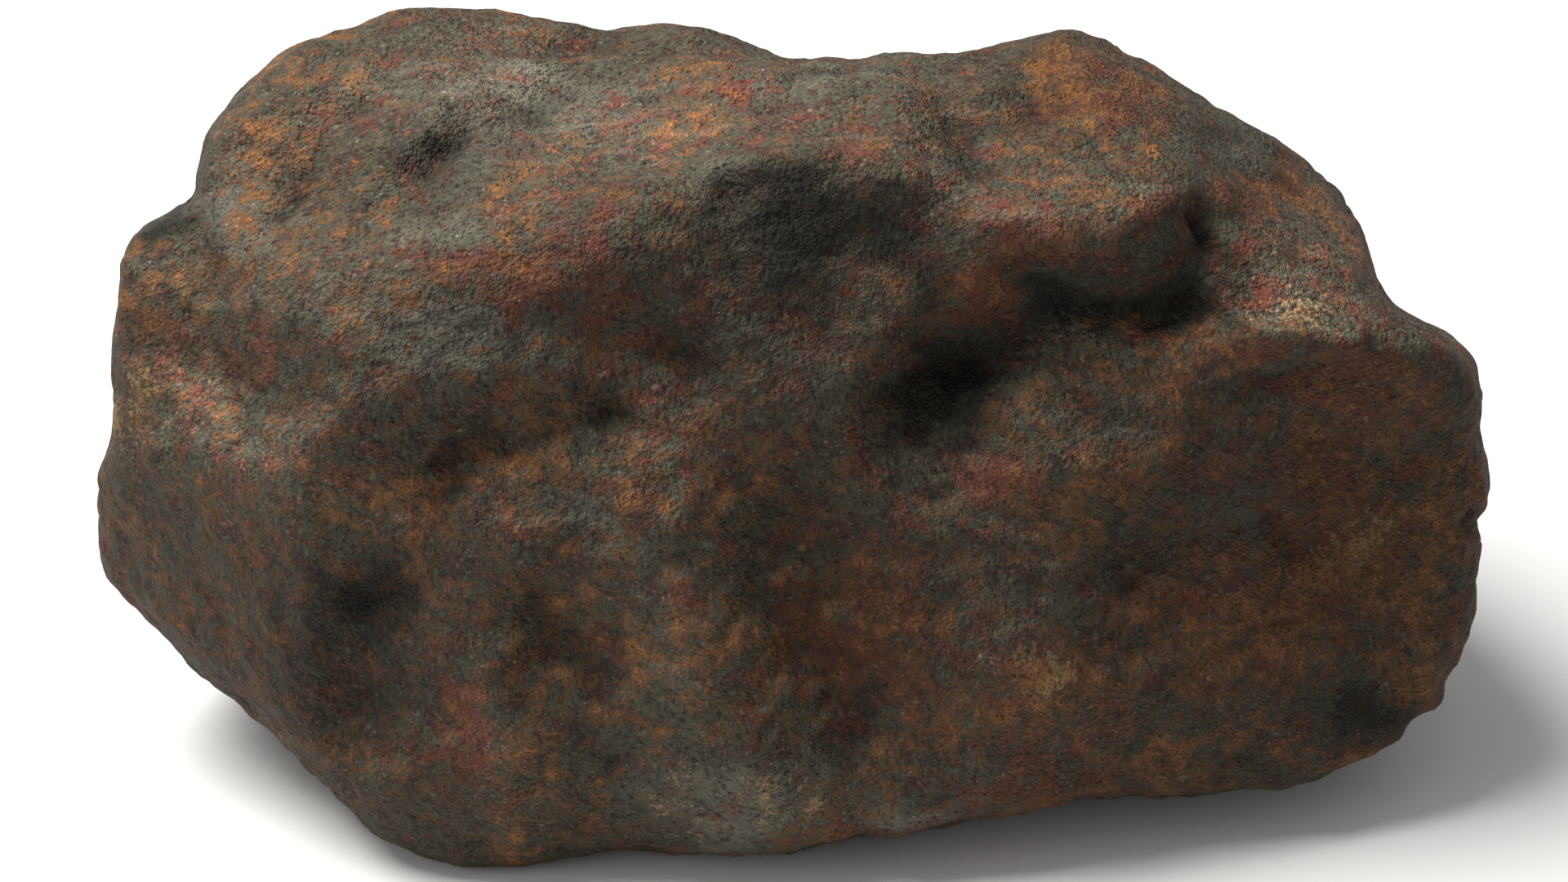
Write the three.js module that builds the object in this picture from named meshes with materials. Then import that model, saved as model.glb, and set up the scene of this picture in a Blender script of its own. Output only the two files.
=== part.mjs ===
// An iron meteorite: one lump of metal with a rusted crust, its faces scooped by thumbprint hollows.
// Millimetres and degrees, +Z up. The stone's front faces -Y and its long way lies along X.
// It stands on a flat of its underside, and the origin is under the middle of its box.
import * as THREE from "three";
import { ImprovedNoise } from "three/addons/math/ImprovedNoise.js";
import { mergeVertices } from "three/addons/utils/BufferGeometryUtils.js";

// The viewpoint that the front is drawn from.
const viewElevation = 28;
const viewDistance = 365;

// The flat that the stone stands on, measured down from the middle of the outline.
const footDepth = 34;

// How far behind the middle the outline would close, if no face cut it first.
const closingDepth = 95;

// How widely the edges are rounded: where two faces meet, at the outline, and round the flat.
const faceRounding = 9;
const rimRounding = 3;
const footRounding = 3;

// The front outline as the viewpoint sees it: millimetres right and up, on the plane through the middle.
const frontOutline = [
  [-36.3, 41.0], [-29.8, 40.4], [-21.1, 39.3], [-16.1, 38.3], [-10.4, 39.0], [-5.1, 37.4], [-0.5, 36.1],
  [7.1, 35.8], [17.7, 36.3], [22.7, 37.7], [25.6, 38.5], [28.8, 37.2], [34.5, 33.6], [40.6, 30.2],
  [46.6, 27.3], [50.1, 24.3], [52.9, 20.5], [54.6, 14.8], [56.2, 12.5], [60.3, 10.0], [63.0, 7.8],
  [64.0, 4.9], [64.0, 0.7], [65.1, -4.6], [64.5, -8.4], [63.8, -15.3], [62.2, -21.8], [58.8, -26.3],
  [55.0, -29.4], [45.1, -32.5], [40.6, -33.5], [33.0, -32.8], [25.3, -33.4], [7.1, -36.8], [-3.6, -38.7],
  [-11.9, -38.4], [-17.3, -38.1], [-23.4, -39.8], [-28.7, -41.0], [-32.5, -40.4], [-37.8, -37.4],
  [-48.5, -27.1], [-59.9, -17.0], [-63.7, -12.3], [-64.8, -7.7], [-64.3, -3.9], [-62.8, 0.3], [-62.9, 7.5],
  [-62.3, 14.4], [-61.0, 19.1], [-58.7, 20.6], [-55.7, 22.1], [-54.2, 25.8], [-51.5, 30.0], [-47.7, 34.9],
  [-43.1, 38.6], [-39.3, 40.4],
];

// The broad flat faces of the stone: which way each faces, and how far it lies from the middle.
// Azimuth 0 faces the front and 90 the right.
const faces = [
  { name: "front", azimuth: 0, elevation: 6, distance: 25.5 },
  { name: "upper front", azimuth: 3, elevation: 14, distance: 24.5 },
  { name: "right front", azimuth: 16, elevation: 2, distance: 27.5 },
  { name: "left front", azimuth: -38, elevation: 8, distance: 44.5 },
  { name: "lower left", azimuth: -44, elevation: -12, distance: 49 },
  { name: "under front", azimuth: -4, elevation: -20, distance: 33.5 },
  { name: "under right", azimuth: 40, elevation: -60, distance: 44 },
  { name: "top", azimuth: 0, elevation: 84, distance: 34 },
  { name: "left top", azimuth: -42, elevation: 67, distance: 38 },
  { name: "right top", azimuth: 90, elevation: 60, distance: 44 },
  { name: "back top", azimuth: 180, elevation: 40, distance: 41 },
  { name: "back", azimuth: 180, elevation: 0, distance: 41 },
  { name: "back left", azimuth: -135, elevation: 5, distance: 48.5 },
  { name: "back right", azimuth: 150, elevation: -5, distance: 51 },
  { name: "right end", azimuth: 82, elevation: -4, distance: 66 },
  { name: "under back", azimuth: 180, elevation: -45, distance: 46 },
];

// Lumps (raised) and hollows (sunk) of the front. Each is drawn along a line of points where the viewpoint
// sees it, and fades out over its reach. A step fades out more slowly below its line.
const frontRelief = [
  { name: "left dome", along: [[-46, 32], [-36, 36]], reach: 9, height: 3.6 },
  { name: "dome pit", along: [[-34, 26.5], [-31, 28.5]], reach: 2.2, height: -1.8 },
  { name: "shoulder gully", along: [[-58, 21], [-55, 15], [-54, 9]], reach: 4, height: -2.6 },
  { name: "shoulder knob", along: [[-50, 17]], reach: 5, height: 1.6 },
  { name: "hump", along: [[0, 27], [9, 28]], reach: 6, height: 2.4 },
  { name: "saddle groove", along: [[-26, 33], [-10, 34], [4, 35.5]], reach: 4, height: -2.6 },
  { name: "right peak", along: [[20, 33], [28, 32]], reach: 8, height: 2 },
  { name: "valley behind the right brow", along: [[18, 27], [27, 25], [38, 23]], reach: 5, height: -1.4 },
  { name: "right brow", along: [[18, 21], [28, 20.5], [36, 19]], reach: 4, height: 1.8 },
  { name: "notch", along: [[38, 19.2]], reach: 2.2, height: -2 },
  { name: "shelf scoop", along: [[44, 20], [53, 17]], reach: 6, height: -6 },
  { name: "shelf edge", along: [[42, 8.5], [50, 8], [58, 7]], reach: 3.5, height: 2 },
  { name: "deep hollow", along: [[14.5, 4], [19, 6]], reach: 4.8, below: 5.5, height: -4 },
  { name: "step under the right brow", along: [[14, 6.5], [18, 9], [23, 12], [30, 15], [37, 15]], reach: 3,
    below: 13, height: -3.4 },
  { name: "hollow under the right brow", along: [[26, 14], [37, 13]], reach: 3.5, height: -1.8 },
  { name: "right knob", along: [[36, 5]], reach: 4.5, height: 1.6 },
  { name: "bulge under the hollow", along: [[22, -3], [30, -3]], reach: 5, height: 1.6 },
  { name: "step under the knuckle", along: [[-6, 21.5], [3, 22], [12, 20]], reach: 3, below: 11,
    height: -3.2 },
  { name: "crease under the cheek", along: [[-20, 9], [-10, 8]], reach: 2.8, below: 6, height: -2.2 },
  { name: "ledge", along: [[-40, 3], [-24, 4]], reach: 5, height: 1.2 },
  { name: "ledge crease", along: [[-33, -0.8], [-27, 0.8], [-18, 1.2]], reach: 2.5, below: 6, height: -2.6 },
  { name: "left hollow", along: [[-54, 4.5], [-45, 4]], reach: 5, height: -2 },
  { name: "left ridge", along: [[-60, -2], [-51, -3.5], [-43, -5.5]], reach: 5, height: 2.5 },
  { name: "dark gully", along: [[-36, -7], [-38, -15], [-38, -24]], reach: 5, height: -4.4 },
  { name: "small knob", along: [[-30, -9], [-24, -11]], reach: 4.5, height: 1.8 },
  { name: "dimple under the knob", along: [[-25, -17.5]], reach: 4, height: -2.2 },
  { name: "lower groove", along: [[-20, -20], [-22, -29]], reach: 4, height: -1.6 },
  { name: "lower left swell", along: [[-28, -22], [-27, -32]], reach: 5, height: 1.6 },
  { name: "lower centre swell", along: [[-14, -8], [-10, -18], [-6, -30]], reach: 8, height: 2.6 },
  { name: "hollow beside the swell", along: [[0, -8], [2, -18], [7, -27]], reach: 5, height: -3 },
  { name: "right face crease", along: [[32, -11], [38, -9.5], [49, -7.5]], reach: 2.6, below: 7,
    height: -2.4 },
  { name: "right face swell", along: [[24, -22], [46, -24]], reach: 8, height: 1.8 },
  { name: "right end crease", along: [[50, -3], [60, -2]], reach: 4, height: -1.6 },
];

// Lumps and hollows of the back, drawn in the same way as seen from behind: right is -X there.
const backRelief = [
  { name: "back scoop", along: [[-26, 2], [-14, 8]], reach: 11, height: -6 },
  { name: "back thumbprint", along: [[12, -8], [22, -14]], reach: 9, height: -5.5 },
  { name: "high thumbprint", along: [[24, 14], [32, 11]], reach: 8, height: -5 },
  { name: "back shoulder", along: [[-8, 22], [8, 24]], reach: 7, height: 2.5 },
  { name: "back heel", along: [[-48, -10], [-38, -14]], reach: 9, height: 2.5 },
  { name: "back dimple", along: [[46, -4], [50, 2]], reach: 6, height: -3.5 },
];

// The natural unevenness of the crust: the height and spacing of its swells.
const swells = [
  { spacing: 24, height: 2 },
  { spacing: 10, height: 0.8 },
];

// The dents of the sides behind the outline. Its bumps even out there over an angle in degrees. Both set in
// between the sines of two angles behind the outline.
const sideDents = { spacing: 18, height: 2.4 };
const eveningAngle = 24;
const sideFade = { start: 0.05, end: 0.45 };

// The depths behind the middle over which the front's lumps fade out and the back's fade in, and the height
// above the flat over which both fade out.
const frontFade = { start: 8, end: 20 };
const backFade = { start: 12, end: 24 };
const footFade = 4;

// How far, and over what spacing, the lumps and hollows wander from where they are drawn.
const wander = { spacing: 9, distance: 3 };

// How many times each edge of the starting icosahedron is split.
const splits = 20;

// The stone's half sizes, which spread the starting points evenly over it.
const spread = new THREE.Vector3(65, 36, 36);

// Right, up and toward the eye, for a viewpoint at that azimuth and elevation.
function viewAxes(azimuth, elevation) {
  const a = THREE.MathUtils.degToRad(azimuth);
  const e = THREE.MathUtils.degToRad(elevation);
  const toward = new THREE.Vector3(Math.sin(a) * Math.cos(e), -Math.cos(a) * Math.cos(e), Math.sin(e));
  const right = new THREE.Vector3(Math.cos(a), Math.sin(a), 0);
  return { right, up: toward.clone().cross(right), toward };
}

const frontView = viewAxes(0, viewElevation);
const backView = viewAxes(180, viewElevation);

// How far a closed outline reaches from its middle, as a function of the angle.
function outlineReach(outline) {
  const points = outline.map(([across, up]) => new THREE.Vector3(across, up, 0));
  const curve = new THREE.CatmullRomCurve3(points, true, "centripetal");
  const polar = curve
    .getPoints(outline.length * 12)
    .slice(1)
    .map((p) => ({ angle: Math.atan2(p.y, p.x), reach: p.length() }))
    .sort((p, q) => p.angle - q.angle);
  const turn = (angle) => THREE.MathUtils.euclideanModulo(angle, 2 * Math.PI);
  return (angle) => {
    const wrapped = turn(angle + Math.PI) - Math.PI;
    const next = Math.max(polar.findIndex((p) => p.angle > wrapped), 0);
    const high = polar[next];
    const low = polar[(next + polar.length - 1) % polar.length];
    const share = turn(wrapped - low.angle) / Math.max(turn(high.angle - low.angle), 1e-9);
    return THREE.MathUtils.lerp(low.reach, high.reach, Math.min(share, 1));
  };
}

const frontReach = outlineReach(frontOutline);

const faceNormals = faces.map((face) => viewAxes(face.azimuth, face.elevation).toward);

// The lesser of two lengths, rounded off where they come within a width of each other.
function roundedMin(a, b, width) {
  const near = Math.max(width - Math.abs(a - b), 0) / width;
  return Math.min(a, b) - (near * near * width) / 4;
}

// The radius along a unit direction of the block that the faces bound.
function blockRadius(d) {
  let radius = 200;
  faces.forEach((face, i) => {
    const facing = d.dot(faceNormals[i]);
    if (facing > 0.05) radius = roundedMin(radius, face.distance / facing, faceRounding);
  });
  return radius;
}

// The outline's reach without its bumps: no more than its mean over the angles round about.
function evenReach(angle) {
  const samples = [-1, -0.67, -0.33, 0, 0.33, 0.67, 1];
  const span = THREE.MathUtils.degToRad(eveningAngle);
  const mean = samples.reduce((sum, k) => sum + frontReach(angle + k * span), 0) / samples.length;
  return Math.min(frontReach(angle), mean);
}

// The radius along a unit direction of the shape with the front outline: sight lines graze it in front,
// and behind it evens out, dents in and closes like an egg.
function outlineRadius(d) {
  const across = d.dot(frontView.right);
  const up = d.dot(frontView.up);
  const toward = d.dot(frontView.toward);
  const angle = Math.atan2(up, across);
  const behind = THREE.MathUtils.smoothstep(-toward, sideFade.start, sideFade.end);
  const reach = THREE.MathUtils.lerp(frontReach(angle), evenReach(angle), behind);
  const closing = Math.min(toward, 0) / closingDepth;
  const share = Math.hypot(Math.hypot(across, up) / reach, closing) + toward / viewDistance;
  const radius = 1 / Math.max(share, 0.002);
  const dent = 1 + noiseAt(d, sideDents.spacing / radius, 20);
  return radius - behind * sideDents.height * dent;
}

// How much of a lump or hollow a point of the plane has: 1 on its line, and less with the distance.
function lumpShare(across, up, { along, reach, below = reach }) {
  let share = 0;
  along.forEach(([x0, y0], i) => {
    const [x1, y1] = along[Math.min(i + 1, along.length - 1)];
    const squared = (x1 - x0) ** 2 + (y1 - y0) ** 2;
    const projected = squared && ((across - x0) * (x1 - x0) + (up - y0) * (y1 - y0)) / squared;
    const t = THREE.MathUtils.clamp(projected, 0, 1);
    const above = up - y0 - t * (y1 - y0);
    const distance = Math.hypot(across - x0 - t * (x1 - x0), above);
    const fade = reach + (below - reach) * (Math.max(-above, 0) / Math.max(distance, 1e-6));
    share = Math.max(share, Math.exp(-((distance / fade) ** 2)));
  });
  return share;
}

const noise = new ImprovedNoise();

// Smooth noise between -1 and 1 at a point, from a place in it that the offset picks.
function noiseAt(p, spacing, offset) {
  return noise.noise(p.x / spacing + offset, p.y / spacing, p.z / spacing);
}

// Moves a point along its sight line by a share of the lumps and hollows that a viewpoint sees there, so
// that none of them changes the outline or reaches the flat.
function addRelief(point, relief, view, share) {
  const depth = point.dot(view.toward);
  const scale = viewDistance / (viewDistance - depth);
  const across = point.dot(view.right) * scale + wander.distance * noiseAt(point, wander.spacing, 50);
  const up = point.dot(view.up) * scale + wander.distance * noiseAt(point, wander.spacing, 90);
  let height = 0;
  for (const lump of relief) height += lump.height * lumpShare(across, up, lump);
  const clear = THREE.MathUtils.smoothstep(point.z, -footDepth, footFade - footDepth);
  const sight = view.toward.clone().multiplyScalar(viewDistance).sub(point).normalize();
  point.addScaledVector(sight, height * share * clear);
}

function swellHeight(p) {
  let height = 0;
  for (const swell of swells) height += swell.height * noiseAt(p, swell.spacing, 0);
  return height;
}

// The point of the stone's surface along a unit direction, cut at the flat.
function surfacePoint(d) {
  const rim = outlineRadius(d);
  const block = blockRadius(d);
  const swell = swellHeight(d.clone().multiplyScalar(Math.min(block, rim)));
  let radius = roundedMin(block + swell, rim, rimRounding);
  if (d.z < 0) radius = roundedMin(radius, -footDepth / d.z, footRounding);
  const point = d.clone().multiplyScalar(radius);
  const behind = -point.dot(frontView.toward);
  const inFront = 1 - THREE.MathUtils.smoothstep(behind, frontFade.start, frontFade.end);
  addRelief(point, frontRelief, frontView, inFront);
  addRelief(point, backRelief, backView, THREE.MathUtils.smoothstep(behind, backFade.start, backFade.end));
  return point;
}

// An icosahedron's points pushed out to the surface.
function stoneGeometry() {
  const geometry = new THREE.IcosahedronGeometry(1, splits);
  geometry.deleteAttribute("normal");
  geometry.deleteAttribute("uv");
  const merged = mergeVertices(geometry, 1e-5);
  const position = merged.getAttribute("position");
  const point = new THREE.Vector3();
  for (let i = 0; i < position.count; i++) {
    point.fromBufferAttribute(position, i).multiply(spread).normalize();
    position.setXYZ(i, ...surfacePoint(point));
  }
  merged.computeBoundingBox();
  merged.computeVertexNormals();
  return merged;
}

const crust = new THREE.MeshStandardMaterial({ color: 0x5a4636, roughness: 0.75, metalness: 0.3 });
const stone = new THREE.Mesh(stoneGeometry(), crust);
stone.name = "meteorite";
const { min, max } = stone.geometry.boundingBox;
stone.position.set(-(min.x + max.x) / 2, -(min.y + max.y) / 2, -min.z);

const meteorite = new THREE.Group();
meteorite.add(stone);

export default meteorite;
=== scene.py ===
import itertools
import math

import bpy
import numpy as np
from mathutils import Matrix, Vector


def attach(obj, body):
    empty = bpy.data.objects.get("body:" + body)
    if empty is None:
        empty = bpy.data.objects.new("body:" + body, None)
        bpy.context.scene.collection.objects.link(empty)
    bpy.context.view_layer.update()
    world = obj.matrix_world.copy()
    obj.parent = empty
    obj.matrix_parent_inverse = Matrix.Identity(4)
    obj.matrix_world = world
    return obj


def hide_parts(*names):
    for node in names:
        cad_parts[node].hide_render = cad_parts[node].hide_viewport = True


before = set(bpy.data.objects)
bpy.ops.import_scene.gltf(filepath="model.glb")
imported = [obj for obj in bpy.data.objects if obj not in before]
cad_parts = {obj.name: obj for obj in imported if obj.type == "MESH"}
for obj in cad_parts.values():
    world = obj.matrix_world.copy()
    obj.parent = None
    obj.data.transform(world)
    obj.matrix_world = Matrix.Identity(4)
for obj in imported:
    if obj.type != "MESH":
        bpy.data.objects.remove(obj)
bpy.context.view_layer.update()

# The stone is worked out in millimetres round its middle, and goes into the mesh in metres.
metre = 0.001
cellShift = 64      # keeps the numbers of the noises' cells above zero
blendRows = 4096    # directions that are blended at a time
print("frame loaded")


# The viewpoint that the front is drawn from, and the camera that stands there.
viewpoint = {
    "elevation": 28.0,
    "distance": 365.0,
    "lens": 90.0,
    "sensor": 36.0,
    "aimRight": -0.53,      # the frame's middle, seen from the stone's middle
    "aimUp": -0.08,
}

stoneForm = {
    "middle": (-0.28, -7.24, 34.0),     # the stone's middle in the row frame
    "halfSizes": (65.0, 36.0, 36.0),    # they spread the grid evenly over the stone
    "steps": 128,                       # cells along each edge of the grid's six squares
    "blend": 0.055,                     # radians over which the solid's corners are blended
    "sharpen": 2,                       # passes that give back what the blending took off the edges
    "softening": 90,                    # rounds of smoothing where the front runs softly
    "hollowRounds": 60,                 # rounds of smoothing that hollows are measured against
    "hollowDepth": 0.8,                 # a hollow this deep gets the painted shade in full
}

crustRelief = {
    "bumps": [(7.0, 0.34), (3.4, 0.24), (1.8, 0.19), (1.2, 0.14)],      # spacing and height
    "pitSpacing": 4.2,
    "pitDepth": 0.35,
    "pitEdges": (0.05, 0.5),            # shares of the spacing between which a pit runs out
    "pitPatches": 12.0,                 # spacing of the places with deeper pits
    "thumbSpacing": 18.0,               # thumbprint hollows, on the sides that the viewpoint doesn't see
    "thumbDepth": 1.6,
    "thumbEdges": (0.08, 0.62),
    "footFade": (0.05, 1.5),            # heights between which the crust's relief sets in above the floor
    "markWander": (3.0, 0.7),           # spacing and size of the wander in the marks' edges
    "patchWander": [(6.0, 2.2), (2.2, 1.0)],
    "markDepths": (-9, 1),              # marks and patches fade in between these depths towards the eye
    "patchDepths": (-4, 4),
}

# Small sharp features of the front: where the viewpoint sees them, half width and height.
frontMarks = [
    ("dome pit", [(-34.2, 25.0), (-33.4, 26.8), (-30.5, 28.6)], 1.3, -1.5),
    ("knuckle pit", [(-5.6, 23.0), (-4.4, 22.4)], 1.3, -1.3),
    ("knuckle lip", [(-7.6, 22.0), (-7.0, 24.6), (-3.4, 25.2)], 1.0, 0.9),
    ("left pit", [(-56.4, 11.4), (-56.2, 10.6)], 0.8, -0.6),
    ("shelf notch", [(37.6, 20.6), (38.6, 18.2)], 1.1, -1.6),
    ("shelf border", [(40.0, 14.9), (41.4, 11.4), (44.2, 9.8), (52.0, 9.6)], 1.2, 1.2),
    ("bottom wedge", [(4.4, -28.8), (5.6, -32.0), (6.8, -36.0)], 1.6, -0.7),
    ("bottom lip", [(7.5, -35.6), (16.0, -34.6), (30.0, -32.4)], 1.2, 0.5),
    ("scratch", [(8.8, -21.0), (14.0, -21.8), (19.4, -22.4)], 0.3, -0.2),
    ("small crease", [(31.0, -13.6), (34.0, -12.0), (37.0, -12.4)], 1.0, -0.3),
    ("crest", [(-25.0, 34.5), (-10.0, 33.4), (3.0, 33.4), (12.0, 31.0)], 2.0, 1.2),
    ("groove behind the crest", [(-22.0, 37.0), (-8.0, 36.4), (6.0, 35.0)], 1.6, -0.9),
    ("dome groove", [(-48.0, 21.0), (-42.5, 29.0), (-37.0, 34.5)], 1.7, -0.8),
    ("dome fold", [(-41.0, 20.0), (-37.5, 26.0), (-29.0, 33.0)], 2.0, 0.8),
    ("peak ridge", [(25.0, 36.0), (31.0, 29.0), (38.0, 22.0)], 2.2, 1.0),
    ("valley by the hump", [(13.5, 31.0), (17.5, 26.0), (23.0, 23.0)], 2.2, -1.1),
    ("brow lobe", [(22.0, 19.6), (28.0, 17.2), (34.0, 16.6)], 3.2, 1.6),
    ("crease under the lobe", [(21.0, 15.6), (26.0, 12.8), (31.5, 10.8), (37.5, 12.6)], 1.5, -1.2),
    ("gully pit", [(-38.8, -15.6), (-36.8, -14.4)], 2.0, -1.2),
    ("ledge nook", [(-33.6, -2.6), (-30.6, -1.4)], 1.2, -0.8),
    ("left fold", [(-41.5, -20.0), (-39.5, -30.0)], 3.0, -0.8),
    ("middle fold", [(-27.5, -20.0), (-26.0, -36.0)], 2.8, 1.0),
    ("right fold", [(-24.0, -15.0), (-22.5, -21.0)], 1.6, -0.7),
    ("swell", [(-11.5, -6.0), (-9.5, -18.0), (-5.0, -30.0)], 5.0, 1.3),
    ("swell side", [(1.0, -20.0), (6.0, -27.0)], 2.5, -0.4),
    ("dome rim", [(-52.5, 27.5), (-50.0, 31.0), (-45.0, 35.5)], 3.4, 1.6),
    ("right shoulder", [(30.0, 36.0), (38.0, 31.5), (46.0, 28.0)], 3.0, 0.9),
    ("lower right rim", [(59.0, -23.0), (54.0, -28.0), (46.0, -31.5)], 3.0, 1.3),
    ("upper edge chip", [(64.6, -7.4), (63.6, -8.2)], 0.8, -1.0),
    ("lower edge chip", [(62.4, -21.4), (61.4, -22.2)], 0.9, -1.1),
    ("corner chip", [(58.4, -25.6), (57.4, -26.6)], 1.0, -1.1),
    ("shelf face", [(42.5, 6.0), (47.0, 5.4), (54.0, 5.6)], 2.2, -0.8),
]

# Places where the front runs softly from form to form, given like the patches of colour below.
softPlaces = [
    ((-36.0, -13.0), (9.0, 15.0), 0), ((-21.0, -21.0), (5.0, 13.0), 0), ((1.0, -14.0), (7.0, 15.0), 20),
    ((12.0, -2.0), (3.5, 4.0), 0), ((-49.0, -14.0), (5.0, 13.0), 10),
]

# Patches on the front, of colour and of painted light and shade: centre as the viewpoint sees it, half
# sizes, turn in degrees.
frontPatches = {
    "orange": [
        ((-47.3, 26.6), (2.7, 6.5), -35), ((-39.3, 36.5), (5.3, 1.9), 10), ((-23.4, 25.4), (5.3, 1.9), 12),
        ((-9.7, 29.2), (6.1, 1.7), 8), ((-8.1, 27.3), (1.9, 1.1), 0), ((27.0, 33.4), (4.6, 2.4), 0),
        ((44.4, 24.3), (5.3, 2.7), -20), ((-24.9, -2.0), (6.8, 1.9), 0), ((-15.8, -5.8), (3.0, 3.4), 0),
        ((13.9, -26.3), (7.2, 4.6), 0), ((36.0, -30.1), (5.3, 1.1), 10), ((-27.2, -37.7), (4.6, 1.9), 0),
        ((-37.1, 12.1), (3.0, 2.2), 0), ((48.2, -16.8), (9.9, 4.6), 0),
    ],
    "ochre": [
        ((48.2, 11.7), (4.9, 2.3), -8), ((-61.0, 4.5), (1.7, 4.6), 0), ((29.1, -2.4), (2.3, 2.3), 0),
        ((24.2, -23.3), (4.2, 3.4), -30), ((53.1, -11.1), (3.0, 3.0), 0), ((2.1, -32.4), (1.5, 3.2), 0),
        ((-49.2, -26.0), (3.8, 1.1), -40), ((-10.6, -34.3), (2.6, 2.7), 0), ((-1.8, -33.9), (2.6, 2.3), 0),
    ],
    "red": [
        ((7.1, 26.9), (2.3, 1.4), 0), ((18.1, -3.9), (3.4, 2.3), 0), ((2.9, -18.7), (3.8, 2.7), 0),
        ((-31.0, -26.7), (3.0, 3.8), 0), ((-24.9, 15.1), (9.1, 4.6), 0), ((16.2, 12.9), (4.6, 3.8), 0),
        ((-2.8, 32.6), (6.8, 1.5), 0), ((21.5, 22.0), (4.6, 3.0), 0), ((19.3, -33.9), (12.2, 1.4), 6),
    ],
    "grey": [
        ((-23.4, 32.6), (6.8, 2.3), 0), ((-31.0, 25.8), (4.6, 3.4), 0), ((-51.1, 17.8), (2.7, 3.0), 0),
        ((3.3, 32.6), (6.8, 1.7), 0), ((41.3, 26.6), (3.8, 1.5), 0), ((-17.7, -8.4), (3.0, 1.9), 0),
        ((42.1, -8.4), (4.6, 3.0), 0), ((-33.0, 20.0), (5.0, 2.0), 15), ((-32.0, 11.0), (10.0, 4.0), 0),
        ((-54.0, 21.0), (3.0, 4.0), 0), ((-6.0, 23.6), (2.6, 2.0), 0),
        ((-5.0, -33.8), (9.0, 3.2), 0), ((12.0, -34.0), (6.0, 1.6), 8),
    ],
    "warm": [
        ((48.0, -12.0), (15.0, 13.0), 0), ((10.0, -19.0), (11.0, 7.0), 0), ((25.0, -24.0), (8.0, 6.0), 0),
        ((29.0, 32.0), (7.0, 4.0), 0), ((46.0, 24.0), (6.0, 4.0), 0), ((52.0, 5.0), (10.0, 5.0), 0),
    ],
    # Painted light on lit places such as the dome, the right shelf, the left ridge and the lower swell,
    # partly paler crust.
    "lightAndPaleCrust": [
        ((-9.0, -20.0), (6.0, 12.0), 10), ((-47.0, -4.0), (9.0, 3.5), -12), ((-26.0, -29.0), (2.8, 7.0), 0),
        ((46.5, 14.5), (5.0, 4.6), -15), ((-16.0, 29.0), (11.0, 4.0), 5), ((-29.0, 33.0), (9.0, 4.0), 0),
        ((-55.0, 4.0), (4.0, 6.0), 0), ((11.0, -33.8), (6.0, 1.6), 8), ((-4.0, -33.5), (10.0, 4.2), 0),
    ],
    # Painted shade, partly darker crust: the right face away from the light, under the brow and knuckle,
    # and a few darker places.
    "shadeAndDarkCrust": [
        ((46.0, -12.0), (20.0, 17.0), 0), ((-30.0, 12.0), (11.0, 5.0), 0), ((2.0, 18.0), (10.0, 6.0), 0),
        ((27.0, 32.0), (8.0, 5.0), 0), ((43.0, 25.0), (6.0, 4.0), 0), ((-33.0, 25.0), (6.0, 3.0), 0),
        ((18.0, 8.0), (9.0, 7.0), 25), ((8.0, -17.0), (9.0, 8.0), 0), ((-20.0, -4.0), (8.0, 4.0), 10),
        ((26.0, -1.0), (8.0, 5.0), 15), ((10.0, 14.0), (4.0, 4.0), 0), ((-22.0, 15.0), (13.0, 5.0), 10),
        ((0.0, 13.0), (12.0, 8.0), 0), ((30.0, 16.0), (9.0, 3.2), -8), ((-44.0, -22.0), (8.0, 9.0), 0),
    ],
    # Painted shade in creases, hollows and under the brows and the knuckle.
    "dark": [
        ((2.5, 23.0), (6.0, 2.3), 0), ((34.0, 12.0), (5.0, 2.2), 12), ((24.0, 13.0), (4.0, 2.2), -25),
        ((2.0, 20.0), (8.0, 3.6), 0), ((-58.0, 19.3), (2.3, 2.3), 0), ((-39.3, -15.3), (3.0, 3.0), 0),
        ((15.2, 3.8), (5.5, 3.4), 28), ((55.0, -25.2), (4.6, 2.3), 0),
    ],
}


# Right, up and toward the eye, for the viewpoint.
def viewAxes():
    rise = math.radians(viewpoint["elevation"])
    toward = np.array([0.0, -math.cos(rise), math.sin(rise)])
    right = np.array([1.0, 0.0, 0.0])
    return right, np.cross(toward, right), toward


# Where the viewpoint sees each point: its distances along right and up, enlarged by
# distance / (distance - depth), and its depth towards the eye.
def seenFrom(points):
    right, up, toward = viewAxes()
    depth = points @ toward
    enlarge = viewpoint["distance"] / (viewpoint["distance"] - depth)
    return points @ right * enlarge, points @ up * enlarge, depth


# 0 below low, 1 above high, and 3t^2 - 2t^3 between them.
def smoothStep(values, low, high):
    t = np.clip((values - low) / (high - low), 0, 1)
    return t * t * (3 - 2 * t)


def unitRows(rows):
    return rows / np.linalg.norm(rows, axis=1, keepdims=True)


# A fixed scramble of three whole numbers and a seed into a value from -1 to 1.
def scramble(x, y, z, seed):
    n = (x * 73856093) ^ (y * 19349663) ^ (z * 83492791) ^ (seed * 40503)
    n = (n ^ (n >> 13)) * 1274126177
    n = n ^ (n >> 16)
    return (n & 65535) / 32767.5 - 1


# Soft noise: the eight corner values of the cell that holds a point, blended by 6t^5 - 15t^4 + 10t^3.
def softNoise(points, spacing, seed):
    scaled = points / spacing + cellShift
    cell = np.floor(scaled).astype(np.int64)
    t = scaled - cell
    t = t ** 3 * (t * (6 * t - 15) + 10)
    total = np.zeros(len(points))
    for corner in itertools.product((0, 1), repeat=3):
        share = np.prod(np.where(np.array(corner) == 1, t, 1 - t), axis=1)
        total += share * scramble(*(cell + corner).T, seed)
    return total


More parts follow.
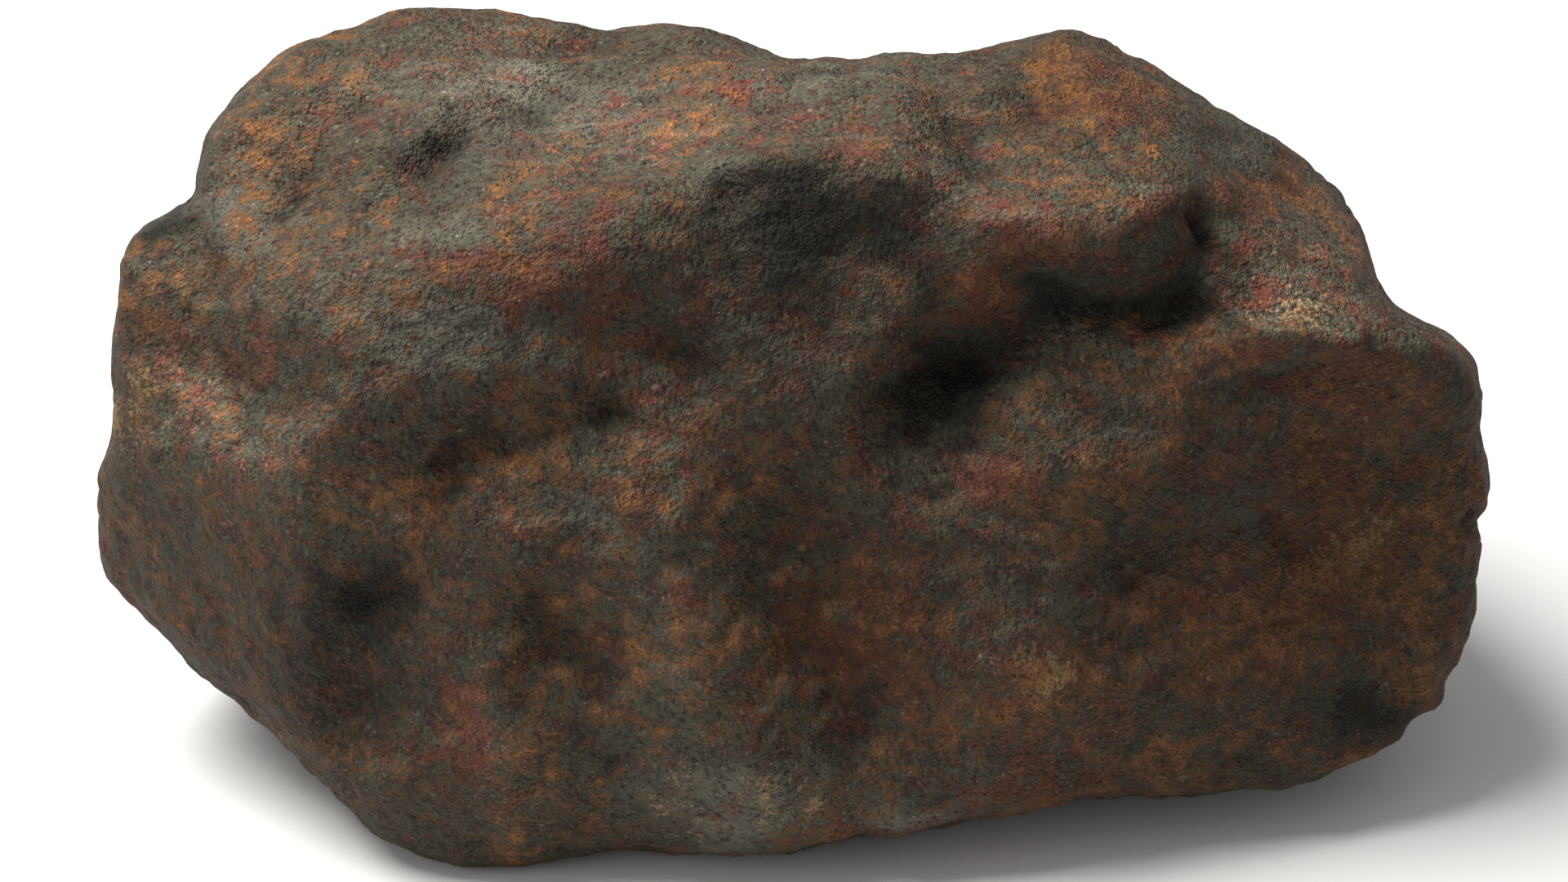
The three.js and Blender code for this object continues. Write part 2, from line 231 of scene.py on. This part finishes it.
# Distance to the nearest of the seeds that are scattered one to a cell, as a share of the spacing.
def nearestSeed(points, spacing, seed):
    scaled = points / spacing + cellShift
    cell = np.floor(scaled).astype(np.int64)
    nearest = np.full(len(points), 9.0)
    for offset in itertools.product((-1, 0, 1), repeat=3):
        near = cell + offset
        jitter = [scramble(*near.T, seed + axis) * 0.5 + 0.5 for axis in range(3)]
        gap = np.linalg.norm(near + np.stack(jitter, axis=1) - scaled, axis=1)
        nearest = np.minimum(nearest, gap)
    return nearest


# Six square grids (s, t), each bent by tan(45 degrees * s) and pushed out to the unit sphere,
# with the points on their shared edges merged. Returns the points and the four corners of each cell.
def sphereGrid(steps):
    line = np.tan(np.linspace(-1, 1, steps + 1) * math.pi / 4)
    s, t = np.meshgrid(line, line, indexing="ij")
    one = np.ones_like(s)
    squares = [(one, s, t), (-one, t, s), (t, one, s), (s, -one, t), (s, t, one), (t, s, -one)]
    points = np.concatenate([np.stack(square, axis=-1).reshape(-1, 3) for square in squares])
    points = unitRows(points)
    index = np.arange(len(points)).reshape(6, steps + 1, steps + 1)
    corners = [index[:, :-1, :-1], index[:, 1:, :-1], index[:, 1:, 1:], index[:, :-1, 1:]]
    cells = np.stack(corners, axis=-1).reshape(-1, 4)
    _, first, merged = np.unique(np.round(points * 1e6), axis=0, return_index=True, return_inverse=True)
    return points[first], merged.reshape(-1)[cells]


# The mean of the knots' values at each direction, weighted by exp(-(gap / width)^2).
def blendOver(directions, knots, values, width):
    result = np.empty(len(directions))
    for start in range(0, len(directions), blendRows):
        part = slice(start, start + blendRows)
        weight = np.exp((directions[part] @ knots.T - 1) * np.float32(2 / width ** 2))
        result[part] = weight @ values / weight.sum(axis=1)
    return result


# The solid's radius along each direction of the grid: its corners' radii blended, after what the
# blending takes off at the corners themselves is added back.
def solidRadius(grid):
    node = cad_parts["meteorite"].data
    corners = np.empty(len(node.vertices) * 3)
    node.vertices.foreach_get("co", corners)
    corners = np.unique(np.round(corners.reshape(-1, 3) / metre, 4), axis=0) - stoneForm["middle"]
    radii = np.linalg.norm(corners, axis=1)
    knots = unitRows(corners / stoneForm["halfSizes"]).astype(np.float32)
    values = radii.copy()
    for _ in range(stoneForm["sharpen"]):
        values += radii - blendOver(knots, knots, values.astype(np.float32), stoneForm["blend"])
    return blendOver(grid.astype(np.float32), knots, values.astype(np.float32), stoneForm["blend"])


# Each point's outward direction: the sum of its cells' cross products of diagonals.
def pointNormals(points, cells):
    a, b, c, d = (points[cells[:, k]] for k in range(4))
    cross = np.cross(c - a, d - b)
    normals = np.zeros_like(points)
    for k in range(4):
        for axis in range(3):
            normals[:, axis] += np.bincount(cells[:, k], cross[:, axis], len(points))
    return unitRows(normals)


# Each point moved to the mean of its neighbours along the cells' edges, some number of times.
def relaxed(points, cells, times):
    ends = np.concatenate([cells, np.roll(cells, 1, axis=1)]).reshape(-1)
    others = np.concatenate([np.roll(cells, 1, axis=1), cells]).reshape(-1)
    count = np.bincount(ends, minlength=len(points))
    for _ in range(times):
        sums = [np.bincount(ends, points[others, axis], len(points)) for axis in range(3)]
        points = np.stack(sums, axis=1) / count[:, None]
    return points


# The distance from points (across, up) to a line of points, taken piece by piece.
def lineDistance(across, up, line):
    nearest = np.full(len(across), 1e9)
    for (x0, y0), (x1, y1) in zip(line, line[1:]):
        squared = (x1 - x0) ** 2 + (y1 - y0) ** 2
        t = np.clip(((across - x0) * (x1 - x0) + (up - y0) * (y1 - y0)) / squared, 0, 1)
        nearest = np.minimum(nearest, np.hypot(across - x0 - t * (x1 - x0), up - y0 - t * (y1 - y0)))
    return nearest


# Noise over a few spacings, each (spacing, size) with the next seed.
def layeredNoise(points, layers, seed):
    return sum(size * softNoise(points, spacing, seed + k) for k, (spacing, size) in enumerate(layers))


# The crust's relief: noise at a few spacings, shallow pits where a seed is near, the front's marks as
# bells exp(-(gap / width)^2) across their lines, and thumbprint hollows where the front ends.
def crustHeight(points):
    height = layeredNoise(points, crustRelief["bumps"], 0)
    pit = 1 - smoothStep(nearestSeed(points, crustRelief["pitSpacing"], 20), *crustRelief["pitEdges"])
    pitShare = 0.5 + 0.5 * softNoise(points, crustRelief["pitPatches"], 31)
    height -= crustRelief["pitDepth"] * pit * pitShare
    across, up, depth = seenFrom(points)
    across = across + layeredNoise(points, [crustRelief["markWander"]], 41)
    up = up + layeredNoise(points, [crustRelief["markWander"]], 42)
    shown = smoothStep(depth, *crustRelief["markDepths"])
    thumbGap = nearestSeed(points, crustRelief["thumbSpacing"], 60)
    thumb = 1 - smoothStep(thumbGap, *crustRelief["thumbEdges"])
    height -= crustRelief["thumbDepth"] * thumb * (1 - shown)
    for name, line, width, size in frontMarks:
        height += shown * size * np.exp(-(lineDistance(across, up, line) / width) ** 2)
    return height


# How much of a colour's patches each point has: the largest exp(-(x/a)^2 - (y/b)^2) of them.
def patchShare(points, patches):
    across, up, depth = seenFrom(points)
    across = across + layeredNoise(points, crustRelief["patchWander"], 51)
    up = up + layeredNoise(points, crustRelief["patchWander"], 53)
    share = np.zeros(len(points))
    for (x, y), (a, b), turn in patches:
        c, s = math.cos(math.radians(turn)), math.sin(math.radians(turn))
        along = (across - x) * c + (up - y) * s
        beside = (up - y) * c - (across - x) * s
        share = np.maximum(share, np.exp(-(along / a) ** 2 - (beside / b) ** 2))
    return share * smoothStep(depth, *crustRelief["patchDepths"])


def addAttribute(mesh, name, values):
    mesh.attributes.new(name, "FLOAT", "POINT").data.foreach_set("value", values.astype(np.float32))


# The stone: the grid pushed out to the solid's radius, then the crust's relief along its normals.
def makeStone():
    grid, cells = sphereGrid(stoneForm["steps"])
    directions = unitRows(grid * stoneForm["halfSizes"])
    points = directions * solidRadius(grid)[:, None]
    softened = patchShare(points, softPlaces)[:, None]
    points += softened * (relaxed(points, cells, stoneForm["softening"]) - points)
    print("solid blended,", len(points), "points")
    floorLevel = -stoneForm["middle"][2]
    lift = smoothStep(points[:, 2] - floorLevel, *crustRelief["footFade"])
    points += pointNormals(points, cells) * (crustHeight(points) * lift)[:, None]
    points[:, 2] = np.maximum(points[:, 2], floorLevel)
    normals = pointNormals(points, cells)
    hollow = np.sum((relaxed(points, cells, stoneForm["hollowRounds"]) - points) * normals, axis=1)

    mesh = bpy.data.meshes.new("stone")
    mesh.vertices.add(len(points))
    mesh.vertices.foreach_set("co", ((points + stoneForm["middle"]) * metre).astype(np.float32).ravel())
    mesh.loops.add(cells.size)
    mesh.loops.foreach_set("vertex_index", cells.astype(np.int32).ravel())
    mesh.polygons.add(len(cells))
    mesh.polygons.foreach_set("loop_start", np.arange(0, cells.size, 4, dtype=np.int32))
    mesh.update(calc_edges=True)
    mesh.polygons.foreach_set("use_smooth", np.ones(len(cells), dtype=bool))
    for colour, patches in frontPatches.items():
        addAttribute(mesh, colour, patchShare(points, patches))
    addAttribute(mesh, "hollow", np.clip(hollow / stoneForm["hollowDepth"], -1, 1))
    addAttribute(mesh, "upward", np.clip(normals[:, 2], 0, 1))
    stone = bpy.data.objects.new("stone", mesh)
    bpy.context.scene.collection.objects.link(stone)
    print("stone made,", len(cells), "cells")
    return stone


# One socket of a node tree. Sums, differences, products and quotients of them add Math nodes.
class Wire:
    def __init__(self, bench, socket):
        self.bench = bench
        self.socket = socket

    def __add__(self, other):
        return self.bench.maths("ADD", self, other)

    def __sub__(self, other):
        return self.bench.maths("SUBTRACT", self, other)

    def __rsub__(self, other):
        return self.bench.maths("SUBTRACT", other, self)

    def __mul__(self, other):
        return self.bench.maths("MULTIPLY", self, other)

    def __truediv__(self, other):
        return self.bench.maths("DIVIDE", self, other)

    __radd__ = __add__
    __rmul__ = __mul__


# A material's node tree, and the one way that its nodes are made.
class Bench:
    def __init__(self, name):
        self.material = bpy.data.materials.new(name)
        self.material.use_nodes = True
        self.tree = self.material.node_tree
        self.shader = self.tree.nodes["Principled BSDF"]

    # A node of a type: its settings first, then the values or wires of its sockets.
    def node(self, kind, settings, sockets, output=0):
        made = self.tree.nodes.new(kind)
        for key, value in settings.items():
            setattr(made, key, value)
        for key, value in sockets.items():
            self.plug(made.inputs[key], value)
        return Wire(self, made.outputs[output])

    def plug(self, socket, value):
        if isinstance(value, Wire):
            self.tree.links.new(value.socket, socket)
        else:
            socket.default_value = value

    def maths(self, operation, first, second):
        return self.node("ShaderNodeMath", {"operation": operation}, {0: first, 1: second})

    # 0 below low and 1 above high, smoothly between.
    def step(self, value, low, high):
        sockets = {"Value": value, "From Min": low, "From Max": high}
        return self.node("ShaderNodeMapRange", {"interpolation_type": "SMOOTHSTEP"}, sockets)

    def mix(self, share, first, second, blend="MIX"):
        settings = {"data_type": "RGBA", "blend_type": blend, "clamp_factor": True}
        return self.node("ShaderNodeMix", settings, {0: share, 6: first, 7: second}, 2)

    # Noise about 0, with features of a size in millimetres.
    def noise(self, place, size, detail, roughness, distortion):
        sockets = {"Vector": place, "Scale": 1 / size, "Detail": detail, "Roughness": roughness}
        sockets["Distortion"] = distortion
        return self.node("ShaderNodeTexNoise", {}, sockets, "Fac") - 0.5

    def attribute(self, name):
        return self.node("ShaderNodeAttribute", {"attribute_name": name}, {}, "Fac")

    # The object's own coordinates in millimetres, from a shifted origin so that noises differ, turned
    # about the vertical and shrunk along the first axis where a noise is drawn out into streaks.
    def place(self, shift, turn=0.0, streak=1.0):
        at = self.node("ShaderNodeTexCoord", {}, {}, "Object")
        sockets = {"Vector": at, "Location": shift, "Rotation": (0, 0, turn)}
        sockets["Scale"] = (1 / metre / streak, 1 / metre, 1 / metre)
        return self.node("ShaderNodeMapping", {"vector_type": "POINT"}, sockets)


# Colours of the rusted crust.
crustColours = {
    "greyGreen": (0.090, 0.084, 0.056, 1),
    "plumBrown": (0.060, 0.045, 0.036, 1),
    "rustBrown": (0.190, 0.095, 0.045, 1),
    "orange": (0.42, 0.176, 0.052, 1),
    "maroon": (0.200, 0.062, 0.040, 1),
    "ochre": (0.42, 0.250, 0.096, 1),
    "ash": (0.24, 0.226, 0.178, 1),
    "soot": (0.020, 0.019, 0.016, 1),
    "glint": (0.62, 0.60, 0.55, 1),
    # Black is mixed in for painted shade.
    "black": (0.0, 0.0, 0.0, 1),
}

# Noises of the crust: size in millimetres, octaves, roughness and distortion.
crustGrain = {
    "speckle": (0.62, 2, 0.7, 0.0),
    "fleck": (1.9, 4, 0.65, 0.5),
    "patch": (9.0, 4, 0.6, 0.6),
    "drift": (24.0, 3, 0.5, 0.0),
    "speckleB": (0.5, 2, 0.7, 0.0),
    "fleckB": (2.4, 4, 0.65, 0.5),
    "patchB": (7.0, 4, 0.6, 0.6),
    "streak": (1.3, 3, 0.6, 0.4),
    "glint": (0.36, 1, 0.5, 0.0),
}

crustFinish = {
    "streakTurn": -0.35,                # radians about the vertical
    "streakLength": 6.0,
    "upwardRange": (0.15, 0.80),        # from crust that faces down or sideways to crust that faces up
    "bumpStrength": 0.8,
    "bumpDistance": 0.0012,
    "roughness": 0.68,
    "specular": 0.15,
}


# Speckle, flecks and patches of noise are added up with the painted patches, and each colour of
# rust is mixed in where its own sum is high. Painted shade darkens the crust where it doesn't face up.
def crustMaterial():
    bench = Bench("crust")
    here = bench.place((0, 0, 0))
    there = bench.place((31, 17, 53))
    drawnOut = bench.place((11, 5, 3), crustFinish["streakTurn"], crustFinish["streakLength"])
    speckle = bench.noise(here, *crustGrain["speckle"])
    fleck = bench.noise(here, *crustGrain["fleck"])
    patch = bench.noise(here, *crustGrain["patch"])
    drift = bench.noise(there, *crustGrain["drift"])
    speckleB = bench.noise(there, *crustGrain["speckleB"])
    fleckB = bench.noise(there, *crustGrain["fleckB"])
    patchB = bench.noise(there, *crustGrain["patchB"])
    streak = bench.noise(drawnOut, *crustGrain["streak"])
    painted = {name: bench.attribute(name) for name in frontPatches}
    warm, grey, dark = painted["warm"], painted["grey"], painted["dark"]
    facingUp = bench.step(bench.attribute("upward"), *crustFinish["upwardRange"])
    # Crust that doesn't face up: a little rustier, and given painted shade further down.
    rustierAndShadedSides = 1 - facingUp

    rust = speckle * 1.5 + fleck * 1.9 + patch * 1.1 + drift * 0.7 + warm * 0.20 - 0.05 + rustierAndShadedSides * 0.05
    rust = rust + painted["orange"] * 0.24 + painted["red"] * 0.12 - grey * 0.25 - dark * 0.35
    red = speckleB * 1.4 + fleckB * 1.8 + patchB * 1.1 + painted["red"] * 0.34 - drift * 0.5
    red = red + warm * 0.22 - grey * 0.15 - dark * 0.25
    ochre = speckleB * 0.9 - fleck * 0.9 + patchB * 0.9 - speckle * 0.7 + painted["ochre"] * 0.42

    colours = crustColours
    ground = bench.step(fleckB + speckle * 0.6, -0.1, 0.12)
    colour = bench.mix(ground, colours["greyGreen"], colours["plumBrown"])
    colour = bench.mix(grey * 0.40, colour, colours["ash"])
    colour = bench.mix(bench.step(rust, 0.0, 0.18) * 0.90, colour, colours["rustBrown"])
    colour = bench.mix(bench.step(red, 0.12, 0.32) * 0.85, colour, colours["maroon"])
    colour = bench.mix(bench.step(rust + speckleB, 0.24, 0.50) * 0.80, colour, colours["orange"])
    colour = bench.mix(bench.step(ochre, 0.24, 0.50) * 0.80, colour, colours["ochre"])
    colour = bench.mix(bench.step(speckleB - speckle, 0.08, 0.30) * 0.40, colour, colours["ash"])
    colour = bench.mix(bench.step(speckle + speckleB, 0.0, 0.28) * 0.82, colour, colours["soot"])
    colour = bench.mix(bench.step(streak, 0.02, 0.20) * facingUp * 0.22, colour, colours["ash"])
    colour = bench.mix(bench.step(streak, -0.02, -0.20) * facingUp * 0.28, colour, colours["plumBrown"])
    # Painted glints: bright specks mixed into the colour as highlights.
    glint = bench.noise(there, *crustGrain["glint"]) + grey * 0.05
    colour = bench.mix(bench.step(glint, 0.28, 0.32) * 0.6, colour, colours["glint"])
    # Painted light and shade, with paler and darker crust, keep their hue: the colour is scaled up, or
    # mixed with black.
    # Painted light, partly paler crust: the colour is scaled up.
    colour = bench.mix(painted["lightAndPaleCrust"] * 0.60, colour, colour, "ADD")
    # Painted shade on the sides that don't face up, as if turned away from the overhead light.
    colour = bench.mix(rustierAndShadedSides * 0.50, colour, colours["black"])
    # Painted shade, partly darker crust, where the front's patches set it.
    colour = bench.mix(painted["shadeAndDarkCrust"] * 0.40, colour, colours["black"])
    # Painted shade in creases, hollows and under the brows.
    colour = bench.mix(dark * 0.75, colour, colours["black"])
    # Painted shade in the hollows, where the crust lies deeper than its smoothed surroundings.
    colour = bench.mix(bench.step(bench.attribute("hollow"), 0.1, 0.9) * 0.40, colour, colours["black"])

    height = speckle + speckleB * 0.8 + fleck * 0.5
    sockets = {"Strength": crustFinish["bumpStrength"], "Distance": crustFinish["bumpDistance"]}
    bump = bench.node("ShaderNodeBump", {}, {**sockets, "Height": height})
    bench.plug(bench.shader.inputs["Base Color"], colour)
    bench.plug(bench.shader.inputs["Roughness"], crustFinish["roughness"] - speckleB * 0.4 + fleck * 0.3)
    bench.plug(bench.shader.inputs["Normal"], bump)
    bench.plug(bench.shader.inputs["Specular IOR Level"], crustFinish["specular"])
    return bench.material


studio = {
    "floorHalf": 3.0,
    "floorColour": (0.90, 0.90, 0.895, 1),
    "floorRoughness": 0.9,
    "worldColour": (1.0, 1.0, 1.0, 1),
    "worldStrength": 0.36,
    # name: place in metres, width, power, colour
    "lights": {
        "key": ((-0.25, -0.02, 0.58), 0.40, 5.7, (1.0, 0.985, 0.96)),
        "side": ((-0.55, -0.28, 0.22), 0.35, 0.6, (1.0, 0.99, 0.97)),
    },
}


def makeFloor():
    half = studio["floorHalf"]
    mesh = bpy.data.meshes.new("floor")
    corners = [(-half, -half, 0), (half, -half, 0), (half, half, 0), (-half, half, 0)]
    mesh.from_pydata(corners, [], [(0, 1, 2, 3)])
    bench = Bench("paper")
    bench.plug(bench.shader.inputs["Base Color"], studio["floorColour"])
    bench.plug(bench.shader.inputs["Roughness"], studio["floorRoughness"])
    mesh.materials.append(bench.material)
    floor = bpy.data.objects.new("floor", mesh)
    bpy.context.scene.collection.objects.link(floor)


def makeLights(target):
    for name, (place, width, power, colour) in studio["lights"].items():
        lamp = bpy.data.lights.new(name, "AREA")
        lamp.shape = "DISK"
        lamp.size = width
        lamp.energy = power
        lamp.color = colour
        holder = bpy.data.objects.new(name, lamp)
        holder.location = place
        holder.rotation_euler = (target - Vector(place)).to_track_quat("-Z", "Y").to_euler()
        bpy.context.scene.collection.objects.link(holder)
    world = bpy.data.worlds.new("studio")
    world.use_nodes = True
    world.node_tree.nodes["Background"].inputs["Color"].default_value = studio["worldColour"]
    world.node_tree.nodes["Background"].inputs["Strength"].default_value = studio["worldStrength"]
    bpy.context.scene.world = world


# The camera stands at the viewpoint and looks at the middle of the photograph's frame.
def makeCamera():
    right, up, toward = (Vector(axis) for axis in viewAxes())
    target = Vector(stoneForm["middle"]) + viewpoint["aimRight"] * right + viewpoint["aimUp"] * up
    lens = bpy.data.cameras.new("camera")
    lens.lens = viewpoint["lens"]
    lens.sensor_width = viewpoint["sensor"]
    lens.clip_start = 0.01
    camera = bpy.data.objects.new("camera", lens)
    camera.location = (target + toward * viewpoint["distance"]) * metre
    camera.rotation_euler = (-toward).to_track_quat("-Z", "Y").to_euler()
    bpy.context.scene.collection.objects.link(camera)
    bpy.context.scene.camera = camera


makeCamera()
makeFloor()
makeLights(Vector(stoneForm["middle"]) * metre)
bpy.context.scene.view_settings.view_transform = "Standard"
print("camera, floor and lights made")

stone = makeStone()
stone.data.materials.append(crustMaterial())
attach(stone, "root")
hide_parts("meteorite")
print("crust material made")
